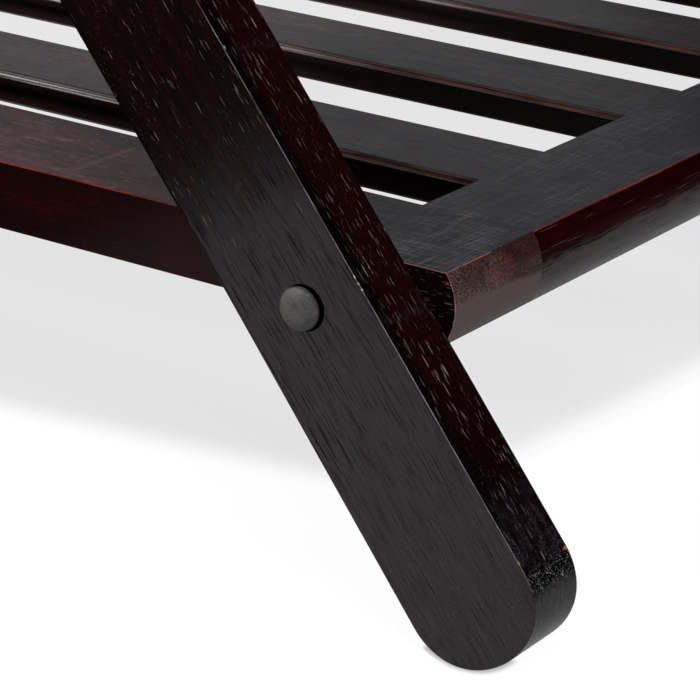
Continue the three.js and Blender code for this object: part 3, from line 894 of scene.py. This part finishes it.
def worked(x, z, settings, underside):
    # the foot is hand sanded: wider at the underside, a little short at the tip
    share = max(0, (settings["flareFrom"] - x) / (settings["flareFrom"] + legSpan / 2))
    tip = max(0, (-legSpan / 2 - x) / (settings["width"] / 2))
    z += underside * settings["flare"] * share * (0.5 + underside * z / settings["width"])
    return x + settings["flatter"] * tip**3, z


def legMesh(settings, underside):
    # underside: which way along the leg's own Z its underside lies
    radius = settings["width"] / 2
    outline = []
    for side in (1, -1):
        start = -side * quarterTurn
        middle = (side * legSpan / 2, 0)
        outline += arc(middle, radius, start, start + 2 * quarterTurn, settings["endSteps"])
        outline.append(Vector((settings["flareFrom"], side * radius)))
    rings = []
    for level, inset in easedLevels(legThick / 2, settings["hiddenArris"], settings["arris"]):
        ring = []
        for p in insetOutline(outline, inset):
            x, z = worked(p.x, p.y, settings, underside)
            ring.append((x, level, z))
        rings.append(ring)
    return loft(rings)


def legAlong(half):
    return Vector((halves[half] * math.sin(legLean), 0, math.cos(legLean)))


def plugsOn(half):
    # how far along the legs of one pair their buttons sit, and the buttons' radii
    found = []
    for node in sorted(frame["nodes"]):
        low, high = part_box(node)
        middle = (low + high) / 2 - Vector((0, 0, pivotHeight))
        along = middle.dot(legAlong(half))
        off = (middle - legAlong(half) * along).x
        if node.endswith("plug_front") and abs(off) < mm:
            found.append((along / mm, (high.z - low.z) / 2 / mm))
    return found


legSizes = {"width": legSettings["width"], "thick": legThick, "span": legSpan}
legHalf = {key: size / 2 / mm for key, size in legSizes.items()}
for half in halves:
    legMaterial = legWood(f"{half}LegWood", legLook, legHalf, plugsOn(half))
    for end, sign in ends.items():
        node = f"{half}_leg_{end}"
        low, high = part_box(node)
        origin = ((low.x + high.x) / 2, (low.y + high.y) / 2, pivotHeight)
        place = standing(origin, legAlong(half), (0, sign, 0))
        made = legMesh(legSettings, -halves[half] * sign)
        addPiece(node, "wood", made, f"{half}_frame", legMaterial, place)
print("legs made")


# Top rails and the dowel

topRailSettings = {
    "thick": 19 * mm,
    "depth": 34 * mm,
    "corner": 6 * mm,
    "tenon": 7 * mm,
    "seam": 0.2 * mm,
}


def roundedSection(width, height, corner, under=None, steps=6):
    outline = []
    for i, (side, level) in enumerate(((1, 1), (-1, 1), (-1, -1), (1, -1))):
        radius = under if under and level < 0 else corner
        middle = (side * (width / 2 - radius), level * (height / 2 - radius))
        outline += arc(middle, radius, i * quarterTurn, (i + 1) * quarterTurn, steps)
    return outline


def prism(outline, half):
    # an outline in the piece's Y and Z, drawn out along its grain
    return loft([[(level, p.x, p.y) for p in outline] for level in (-half, half)])


barMaterial = shelfWood(
    "barWood",
    shelfLook,
    (endless, topRailSettings["thick"] / 2 / mm, topRailSettings["depth"] / 2 / mm),
    {"topCoat": 0.6, "sideCoat": 0.5, "sanding": 0, "scuffs": 0.2, "specular": 0.05},
)
railCentres = {}
section = roundedSection(*[topRailSettings[key] for key in ("thick", "depth", "corner")])
for half in halves:
    node = f"{half}_top_rail"
    low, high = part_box(node)
    centre = Vector((0, 0, pivotHeight)) + legAlong(half) * legSpan / 2
    railCentres[half] = centre
    railLength = high.y - low.y - 2 * (topRailSettings["tenon"] + topRailSettings["seam"])
    place = standing(centre, (0, 1, 0), legAlong(half).cross(Vector((0, 1, 0))))
    made = prism(section, railLength / 2)
    addPiece(node, "wood", made, f"{half}_frame", barMaterial, place)

stretcherSettings = {"steps": 48, "socket": 7 * mm}
low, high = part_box("stretcher")
dowelRadius = (high.z - low.z) / 2
dowelHalf = (high.y - low.y) / 2 - stretcherSettings["socket"]
section = arc((0, 0), dowelRadius, 0, 4 * quarterTurn, stretcherSettings["steps"])[:-1]
place = standing((low + high) / 2, (0, 1, 0), (1, 0, 0))
addPiece("stretcher", "wood", prism(section, dowelHalf), "outer_frame", barMaterial, place)
print("top rails and dowel made")


# Shelf

shelfSettings = {
    "arris": 0.3 * mm,
    "joint": 0.04 * mm,
    "corner": 0.4 * mm,
    "bulge": 3 * mm,
    "bulgeSteps": 14,
    "seam": 0.01 * mm,
    "slatArris": 2 * mm,
    "slatUnderArris": 1 * mm,
    "slatSteps": 12,
    "slatTongue": 8 * mm,
    "endRailWidth": 32 * mm,
}

railLow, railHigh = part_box("shelf_side_rail_front")
shelfThick = railHigh.z - railLow.z
shelfLevel = (railHigh.z + railLow.z) / 2
shelfReach = railHigh.x  # to the crown of the rounded end
sideRailWidth = railHigh.y - railLow.y
bulgeRadius = (shelfThick**2 / 4 + shelfSettings["bulge"] ** 2) / (2 * shelfSettings["bulge"])


def bulgedEnd(middle, settings):
    # right-hand end of an outline in X and Z, from its lower corner to its upper one
    centre = middle + shelfReach - bulgeRadius
    corner = settings["corner"]
    lean = math.asin((shelfThick / 2 - corner) / (bulgeRadius - corner))
    cornerX = centre + (bulgeRadius - corner) * math.cos(lean)
    level = shelfThick / 2 - corner
    points = arc((cornerX, -level), corner, -quarterTurn, -lean, 3)
    points += arc((centre, 0), bulgeRadius, -lean, lean, settings["bulgeSteps"])[1:-1]
    points += arc((cornerX, level), corner, lean, quarterTurn, 3)
    return points


def sideRailMesh(settings):
    # eased on the outer side, crisp on the side of the joints
    right = bulgedEnd(0, settings)
    outline = right + [-p for p in right]
    rings = []
    for level, inset in easedLevels(sideRailWidth / 2, settings["joint"], settings["arris"], 1):
        rings.append([(p.x, level, p.y) for p in insetOutline(outline, inset)])
    return loft(rings)


def endRailMesh(settings, half):
    # along its own X; its Y points to the rounded side
    middle = shelfReach - settings["bulge"] - settings["endRailWidth"] / 2
    outline = bulgedEnd(-middle, settings)
    width = settings["endRailWidth"] / 2
    for side, arris in ((1, settings["joint"]), (-1, settings["arris"])):
        middleOfArc = (arris - width, side * (shelfThick / 2 - arris))
        start = quarterTurn if side > 0 else 2 * quarterTurn
        outline += arc(middleOfArc, arris, start, start + quarterTurn, 4)
    return prism(outline, half)


sideRailMaterial = shelfWood(
    "sideRailWood",
    shelfLook,
    (shelfReach / mm, sideRailWidth / 2 / mm, shelfThick / 2 / mm),
    {
        "bulge": {
            "centre": (shelfReach - bulgeRadius) / mm,
            "radius": bulgeRadius / mm,
            "floorReflectionBelow": 1.3,
        },
        "scuffs": 1,
        "wearFrom": 0,
        "cool": (-90, -130),
        "topCoat": 0.6,
        "sideCoat": 0.3,
        "wearReach": 0.6,
        "redder": (-77, -94, -124, -138),
        "marks": [
            ((-150.3, -19.4, 9.1), (3.2, 0.5, 1), 1),
            ((-54.0, 0, 9.1), (1.2, 14, 1), 0.45),
            ((-50.0, 2, 9.1), (0.9, 7, 1), 0.25),
        ],
    },
)
for end, sign in ends.items():
    node = f"shelf_side_rail_{end}"
    low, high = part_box(node)
    place = standing((0, (low.y + high.y) / 2, shelfLevel), (sign, 0, 0), (0, sign, 0))
    addPiece(node, "wood", sideRailMesh(shelfSettings), "shelf", sideRailMaterial, place)

endRailMaterial = shelfWood(
    "endRailWood",
    shelfLook,
    (endless, shelfSettings["endRailWidth"] / 2 / mm, shelfThick / 2 / mm),
    {
        "sideCoat": 0.43,
        "topCoat": 0.75,
        "sanding": 0.6,
        "scuffs": 0.3,
        "wearFrom": 0,
        "dimAbove": -1,
        "cool": everywhere,
    },
)
endRailHalf = railHigh.y * -1 - shelfSettings["seam"]
endRailMiddle = shelfReach - shelfSettings["bulge"] - shelfSettings["endRailWidth"] / 2
for side, sign in (("hinged", 1), ("resting", -1)):
    node = f"shelf_end_rail_{side}"
    place = standing((sign * endRailMiddle, 0, shelfLevel), (0, -sign, 0), (sign, 0, 0))
    made = endRailMesh(shelfSettings, endRailHalf)
    addPiece(node, "wood", made, "shelf", endRailMaterial, place)

slatNodes = sorted(name for name in frame["nodes"] if name.startswith("shelf_slat_"))
slatLow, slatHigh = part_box(slatNodes[0])
slatWidth = slatHigh.y - slatLow.y
slatThick = slatHigh.z - slatLow.z
slatHalf = slatHigh.x - shelfSettings["slatTongue"]
slatMaterial = shelfWood(
    "slatWood",
    shelfLook,
    (endless, slatWidth / 2 / mm, slatThick / 2 / mm),
    {
        "sideCoat": 0.12,
        "topCoat": 0.95,
        "coolCoat": 0.78,
        "coolBrown": 0.4,
        "sideTone": 0.2,
        "sanding": 0.4,
        "scuffs": 0.7,
        "rounding": 1,
        "cool": (-10, 75),
    },
)
arrises = [shelfSettings[key] for key in ("slatArris", "slatUnderArris", "slatSteps")]
section = roundedSection(slatWidth, slatThick, *arrises)
for node in slatNodes:
    low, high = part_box(node)
    place = Matrix.Translation((low + high) / 2)
    addPiece(node, "wood", prism(section, slatHalf), "shelf", slatMaterial, place)
print("shelf made")


# Button plugs

plugSettings = {
    "rim": 0.9 * mm,
    "stem": 2.8 * mm,
    "stemInset": 0.9 * mm,
    "seat": 0.2 * mm,  # height of the cap's underside
    "easing": 0.15 * mm,
    "wallShare": 0.78,  # of the rim's height
    "domeSteps": 9,
    "domePower": 0.8,  # under 1 is fuller than an ellipse
    "steps": 48,
}
settledPlugs = {"shelf_bolt_plug_front": Vector((-0.13, 0, -0.38)) * mm}  # low in its bore
plugMaterial = plugWood("plugWood", plugLook)


def turnedMesh(profile, steps):
    # about the Y axis, from radius and height pairs
    made = bmesh.new()
    loops = []
    for i in range(steps):
        turn = 4 * quarterTurn * i / steps
        ring = [(r * math.cos(turn), h, r * math.sin(turn)) for r, h in profile]
        loops.append([made.verts.new(point) for point in ring])
    for i, loop in enumerate(loops):
        after = loops[(i + 1) % steps]
        for j in range(len(profile) - 1):
            made.faces.new((loop[j], loop[j + 1], after[j + 1], after[j]))
    return made


def plugMesh(radius, height, settings):
    rim, seat, easing, steps = [settings[key] for key in ("rim", "seat", "easing", "domeSteps")]
    stemRadius = radius - settings["stemInset"]
    profile = [(0, -settings["stem"]), (stemRadius, -settings["stem"]), (stemRadius, seat)]
    profile += [(radius - easing, seat), (radius, seat + easing)]
    profile.append((radius, rim * settings["wallShare"]))
    for i in range(1, steps + 1):
        turn = quarterTurn * i / steps
        level = rim + (height - rim) * math.sin(turn)
        profile.append((radius * math.cos(turn) ** settings["domePower"], level))
    profile[-1] = (0, height)
    return turnedMesh(profile, settings["steps"])


bodies = frame["record"]["behaviour"]["bodies"]
for node in sorted(name for name in frame["nodes"] if "_plug_" in name):
    low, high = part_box(node)
    sign = ends[node.rsplit("_", 1)[1]]
    radius = (high.z - low.z) / 2
    total = high.y - low.y
    base = (low.y if sign > 0 else high.y) + sign * plugSettings["stem"]
    centre = Vector(((low.x + high.x) / 2, base, (low.z + high.z) / 2))
    centre += settledPlugs.get(node, Vector())
    body = next(name for name, nodes in bodies.items() if node in nodes)
    made = plugMesh(radius, total - plugSettings["stem"], plugSettings)
    addPiece(node, "button", made, body, plugMaterial, standing(centre, (1, 0, 0), (0, sign, 0)))
print("plugs made")


# Straps

strapSettings = {
    "thick": 1.6 * mm,
    "sag": 4 * mm,
    "tail": 16 * mm,
    "gap": 0.3 * mm,
    "turnSteps": 10,
    "spanSteps": 40,
    "edge": 0.6 * mm,  # how far in the rounded selvedge reaches
    "edgeShoulder": (0.4, 0.4),  # a point on it: share of the edge, and of the thickness
    "acrossSteps": 8,
}
strapMaterial = webbing("webbing", webbingLook)


def halfStrapLine(settings):
    # down the rail's inner face, round under it, up its outer face, over it and to the middle
    rail = topRailSettings
    flatX, flatZ = rail["thick"] / 2 - rail["corner"], rail["depth"] / 2 - rail["corner"]
    offset = rail["corner"] + settings["gap"] + settings["thick"] / 2
    footX = legSpan / 2 * math.sin(legLean)
    dip = math.atan(2 * settings["sag"] / footX)
    centre = railCentres["inner"]
    line = []

    sine, cosine = math.sin(legLean), math.cos(legLean)

    def addPoint(x, z, angle):
        x += offset * math.cos(angle)
        z += offset * math.sin(angle)
        place = (centre.x + x * cosine - z * sine, centre.z + x * sine + z * cosine)
        line.append((*place, angle + legLean))

    def addTurn(x, z, start, end):
        for i in range(settings["turnSteps"] + 1):
            addPoint(x, z, start + (end - start) * i / settings["turnSteps"])

    addPoint(flatX, settings["tail"] - flatZ, 0)
    addTurn(flatX, -flatZ, 0, -quarterTurn)
    addTurn(-flatX, -flatZ, -quarterTurn, -2 * quarterTurn)
    addTurn(-flatX, flatZ, 2 * quarterTurn, quarterTurn)
    addTurn(flatX, flatZ, quarterTurn, quarterTurn - legLean - dip)
    endX, endZ, _ = line[-1]
    for i in range(1, settings["spanSteps"] + 1):
        x = endX * (1 - i / settings["spanSteps"])
        slope = 2 * settings["sag"] * x / endX**2
        height = endZ - settings["sag"] * (1 - (x / endX) ** 2)
        line.append((x, height, quarterTurn + math.atan(slope)))
    return line


def strapMesh(settings, width, middleY):
    left = halfStrapLine(settings)
    right = [(-x, z, math.pi - angle) for x, z, angle in left[-2::-1]]
    line = left + right
    half, edge, steps = width / 2, settings["edge"], settings["acrossSteps"]
    inwards, level = settings["edgeShoulder"]
    section = [(half, 0), (half - edge * inwards, level), (half - edge, 0.5)]
    section += [(half * k / steps, 0.5) for k in range(steps - 1, -steps, -1)]
    section += [(edge - half, 0.5), (edge * inwards - half, level), (-half, 0)]
    section += [(-y, -level) for y, level in section[1:-1]]
    rings = []
    for x, z, angle in line:
        outX, outZ = settings["thick"] * math.cos(angle), settings["thick"] * math.sin(angle)
        rings.append([(x + level * outX, middleY + y, z + level * outZ) for y, level in section])
    lengths = [0]
    for (x0, z0, _), (x1, z1, _) in zip(line, line[1:]):
        lengths.append(lengths[-1] + math.hypot(x1 - x0, z1 - z0))
    made = loft(rings)
    flat = made.loops.layers.uv.new("flat")
    made.verts.index_update()
    for face in made.faces:
        for corner in face.loops:
            ring, spot = divmod(corner.vert.index, len(section))
            corner[flat].uv = (lengths[ring], section[spot][0])
    return made, lengths[-1]


for node in sorted(name for name in frame["nodes"] if name.startswith("strap_")):
    low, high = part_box(node)
    width = high.y - low.y
    made, length = strapMesh(strapSettings, width, (low.y + high.y) / 2)
    strap = addPiece(node, "webbing", made, None, strapMaterial, Matrix.Identity(4))
    outer, inner = railCentres["outer"], railCentres["inner"]
    turnIn = topRailSettings["depth"] / 2
    start, end = (outer.x - turnIn, 0, outer.z), (inner.x + turnIn, 0, inner.z)
    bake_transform(strap)
print("straps made")


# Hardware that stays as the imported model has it

# each one's name, two tones, roughness, metallic, and the size of its tool marks in millimetres
finishSettings = {
    "screw": ("steelFinish", (0.42, 0.42, 0.43), (0.60, 0.60, 0.61), 0.28, 1, 0.8),
    "bolt": ("boltFinish", (0.36, 0.36, 0.37), (0.52, 0.52, 0.54), 0.3, 1, 0.8),
    "insert": ("brassFinish", (0.50, 0.34, 0.12), (0.62, 0.44, 0.17), 0.3, 1, 0.8),
    "washer": ("nylonFinish", (0.018, 0.018, 0.019), (0.028, 0.028, 0.030), 0.45, 0, 0.5),
}
finishes = {kind: plainFinish(*settings) for kind, settings in finishSettings.items()}
for name, node in frame["nodes"].items():
    kind = next((key for key in finishes if f"_{key}_" in name), None)
    if kind and not node.hide_render:
        node.data.materials.clear()
        node.data.materials.append(finishes[kind])
print("hardware finished")


# Floor: white, pale grey in the shelf's soft shadow, with the rack's real shadow kept faint

floorSettings = {
    "half": 25,
    "white": 1.0,
    "shade": 0.782,
    "glow": 0.92,  # share of the floor's light that the lamps don't make
    "glowStrength": 1.045,
    "contact": {"reach": 0.003, "least": 0.4, "samples": 6, "openness": (0.25, 0.7)},
    "foot": {  # the narrow shadow in front of the photographed foot, an ellipse on the floor
        "centre": (0.16804, -0.25132),
        "long": (0.5990, -0.8007, 0.04223),
        "short": (0.8007, 0.5990, 0.01639),
        "inside": (0.5, 0.8),  # squares of the shares of its size where it starts and ends
        "outside": (1.27, 1.11),
        "contactPast": (6, 4),  # out here the contact shadow above is left out
        "from": (0.1765, 0.1790),
        "to": (-0.2765, -0.2792),
        "level": 0.51,
        "reach": 0.03,  # no shadow where nothing stands this near
        "openness": (0.97, 0.8),
    },
    "soft": 0.011,
    "frontEdge": (-0.231, 0.16),  # where the shade starts at x = 0, and its slope
    "sideEdge": (0.1476, 0.089),  # the same across: x at y = 0, and its slope
    "backEdge": 0.5,
    "farEdge": -0.5,
}


def addFlat(name, corners, height, material):
    mesh = bpy.data.meshes.new(name)
    mesh.from_pydata([(x, y, height) for x, y in corners], [], [(0, 1, 2, 3)])
    mesh.materials.append(material)
    made = addObject(name, mesh)
    return made


def addFloor(settings):
    made, wire = newMaterial("paleFloor")
    x, y, _ = axes(wire.add("NewGeometry", output="Position"))
    soft = settings["soft"]
    start, slope = settings["frontEdge"]
    shade = rise(y - x * slope - start, -soft, soft)
    start, slope = settings["sideEdge"]
    shade = shade * rise(start + y * slope - x, -soft, soft)
    shade = shade * rise(settings["backEdge"] - y, -2 * soft, 2 * soft)
    shade = shade * rise(x - settings["farEdge"], -2 * soft, 2 * soft)
    colour = blendColour(shade, *[(settings[key],) * 3 for key in ("white", "shade")])
    path = wire.add("LightPath")
    seen = path.most(path.other("Is Glossy Ray")).most(path.other("Is Transmission Ray"))
    lit = wire.add("BsdfDiffuse", inputs={"Color": colour})
    contact, foot = settings["contact"], settings["foot"]
    clear, clearWide = [
        wire.add("AmbientOcclusion", {"samples": contact["samples"]}, {"Distance": reach}, "AO")
        for reach in (contact["reach"], foot["reach"])
    ]
    clear = rise(clear, *contact["openness"]) * (1 - contact["least"]) + contact["least"]
    offX, offY = x - foot["centre"][0], y - foot["centre"][1]
    squares = 0
    for alongX, alongY, reach in (foot["long"], foot["short"]):
        part = (offX * alongX + offY * alongY) / reach
        squares = part * part + squares
    shadow = rise(squares, *foot["inside"]) * rise(squares, *foot["outside"])
    shadow = shadow * rise(x, *foot["from"]) * rise(y, *foot["to"])
    shadow = shadow * rise(clearWide, *foot["openness"])
    clear = clear.most(rise(squares, *foot["contactPast"]))
    clear = clear * (1 - shadow * (1 - foot["level"]))
    light = {"Color": colour * clear, "Strength": settings["glowStrength"]}
    glow = wire.add("Emission", inputs=light)
    both = wire.add("MixShader", inputs={0: seen * settings["glow"], 1: lit, 2: glow})
    finishMaterial(wire, both)
    half = settings["half"]
    addFlat("floor", [(-half, -half), (half, -half), (half, half), (-half, half)], 0, made)


# past the front left edge of the paper the studio is dark, which only gloss shows
darkRoomSettings = {
    "colour": (0.005, 0.005, 0.005, 1),
    "right": -0.054,
    "back": -0.38,
    "reach": 1.6,
    "height": 0.004,
}


def addDarkRoom(settings):
    made, wire = newMaterial("darkRoom")
    dark = wire.add("BsdfDiffuse", inputs={"Color": settings["colour"]})
    finishMaterial(wire, dark)
    right, back, reach = settings["right"], settings["back"], settings["reach"]
    corners = [(-reach, -reach), (right, -reach), (right, back), (-reach, back)]
    card = addFlat("darkRoom", corners, settings["height"], made)
    card.visible_camera = False
    card.visible_diffuse = False
    card.visible_transmission = False
    card.visible_shadow = False


addFloor(floorSettings)
addDarkRoom(darkRoomSettings)


# Light: a pale surround that is dark behind the rack's right, two soft lamps, and a window-like
# one that shows in gloss alone

surroundSettings = {
    "strength": 0.42,
    "darkWay": (0.55, 0.78, 0.22),
    "darkCore": 0.92,  # cosines of the dark part's inner and outer angle
    "darkRim": 0.2,
    "darkest": 0.04,
}
lampsAim = Vector((0.1, -0.15, 0.08))
lampSettings = {  # the way to each lamp, its distance, size and power, and whether it lights wood
    "keyLamp": ((0.57, -0.62, 0.66), 1.7, 0.7, 18, True),
    "topLamp": ((-0.52, 0.12, 0.85), 1.8, 0.9, 14, True),
    "windowLamp": ((-0.50, -0.66, 0.42), 1.2, 1.1, 40, False),
}


def addSurround(settings):
    world = bpy.data.worlds.new("studio")
    scene.world = world
    world.use_nodes = True
    world.node_tree.nodes.clear()
    wire = Wire(world.node_tree)
    way = wire.add("TexCoord", output="Generated")
    dark = Vector(settings["darkWay"]).normalized()
    pair = {0: way, 1: tuple(dark)}
    cosine = wire.add("VectorMath", {"operation": "DOT_PRODUCT"}, pair, "Value")
    shade = rise(cosine, settings["darkRim"], settings["darkCore"])
    strength = (1 - shade * (1 - settings["darkest"])) * settings["strength"]
    sky = wire.add("Background", inputs={"Strength": strength})
    wire.add("OutputWorld", inputs={"Surface": sky})


def addLamp(name, way, distance, size, power, lights):
    data = bpy.data.lights.new(name, "AREA")
    data.shape = "DISK"
    data.size = size
    data.energy = power
    lamp = addObject(name, data)
    way = Vector(way).normalized()
    turn = (-way).to_track_quat("-Z", "Y").to_matrix().to_4x4()
    lamp.matrix_world = Matrix.Translation(lampsAim + way * distance) @ turn
    lamp.visible_diffuse = lights


addSurround(surroundSettings)
for name, settings in lampSettings.items():
    addLamp(name, *settings)
print("floor and light made")
